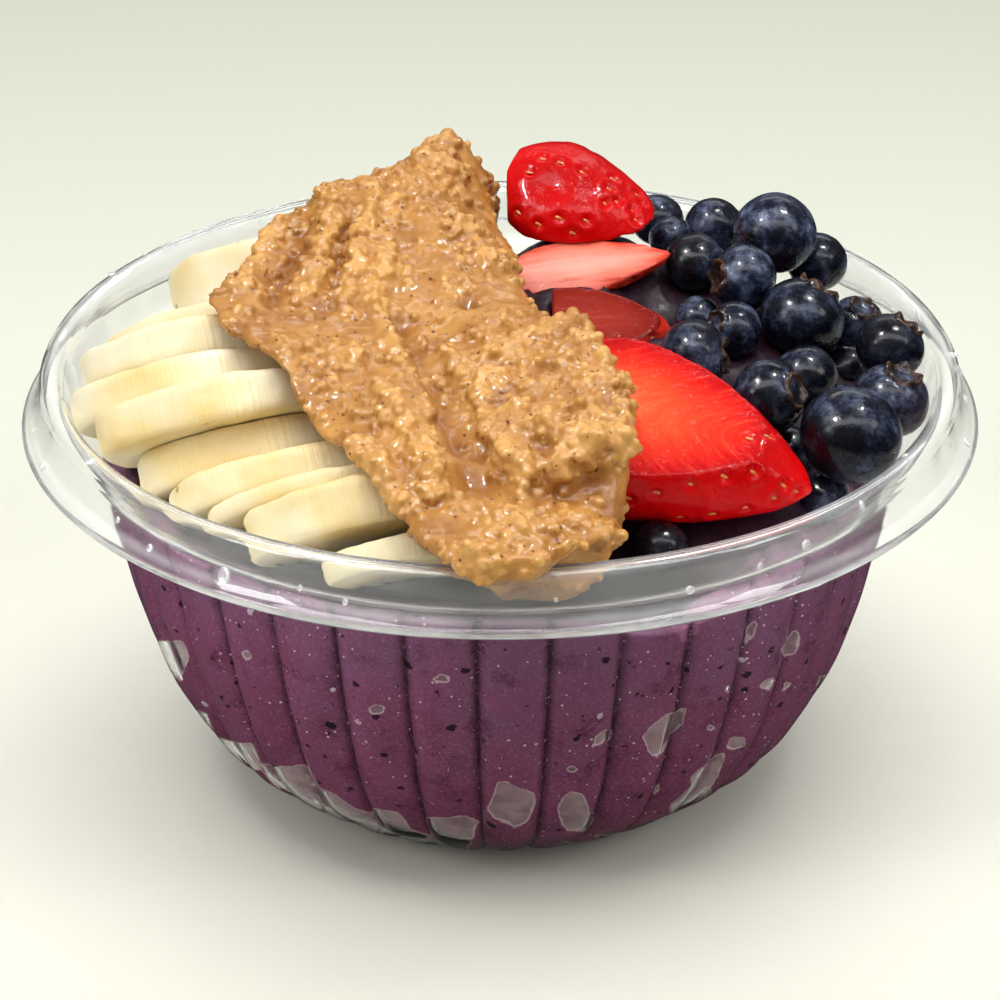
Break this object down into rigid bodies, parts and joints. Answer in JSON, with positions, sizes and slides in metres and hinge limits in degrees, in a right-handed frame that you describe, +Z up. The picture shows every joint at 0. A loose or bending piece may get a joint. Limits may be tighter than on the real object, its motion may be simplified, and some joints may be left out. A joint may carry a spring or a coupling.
{
  "type": "acai bowl",
  "caption": "Fluted clear takeaway bowl of acai puree topped with a fan of banana slices, a chunky heap of nut butter, cut strawberries and blueberries.",
  "frame": {"origin": "centre of the bowl's flat base, on the surface that it stands on", "axes": "+Z up along the bowl's axis, -X towards the banana slices, -Y towards the front, where the nut butter lies over the rim"},
  "size_m": [0.158, 0.158, 0.0965],
  "materials": {
    "clear_plastic": "clear gloss",
    "acai_puree": "semi-gloss",
    "banana": "satin",
    "nut_butter": "oily gloss",
    "strawberry": "wet gloss",
    "blueberry": "satin with bloom"
  },
  "bodies": {
    "root": {"bowl": "clear_plastic", "acai": "acai_puree", "nut_butter": "nut_butter", "banana_slice_1": "banana", "banana_slice_2": "banana", "banana_slice_3": "banana", "banana_slice_4": "banana", "banana_slice_5": "banana", "banana_slice_6": "banana", "banana_slice_7": "banana", "banana_slice_8": "banana", "banana_slice_9": "banana", "banana_slice_10": "banana", "strawberry_1": "strawberry", "strawberry_2": "strawberry", "strawberry_3": "strawberry", "strawberry_4": "strawberry", "blueberry_1": "blueberry", "blueberry_2": "blueberry", "blueberry_3": "blueberry", "blueberry_4": "blueberry", "blueberry_5": "blueberry", "blueberry_6": "blueberry", "blueberry_7": "blueberry", "blueberry_8": "blueberry", "blueberry_9": "blueberry", "blueberry_10": "blueberry", "blueberry_11": "blueberry", "blueberry_12": "blueberry", "blueberry_13": "blueberry", "blueberry_14": "blueberry", "blueberry_15": "blueberry", "blueberry_16": "blueberry", "blueberry_17": "blueberry", "blueberry_18": "blueberry", "blueberry_19": "blueberry", "blueberry_20": "blueberry", "blueberry_21": "blueberry", "blueberry_22": "blueberry"}
  },
  "joints": []
}
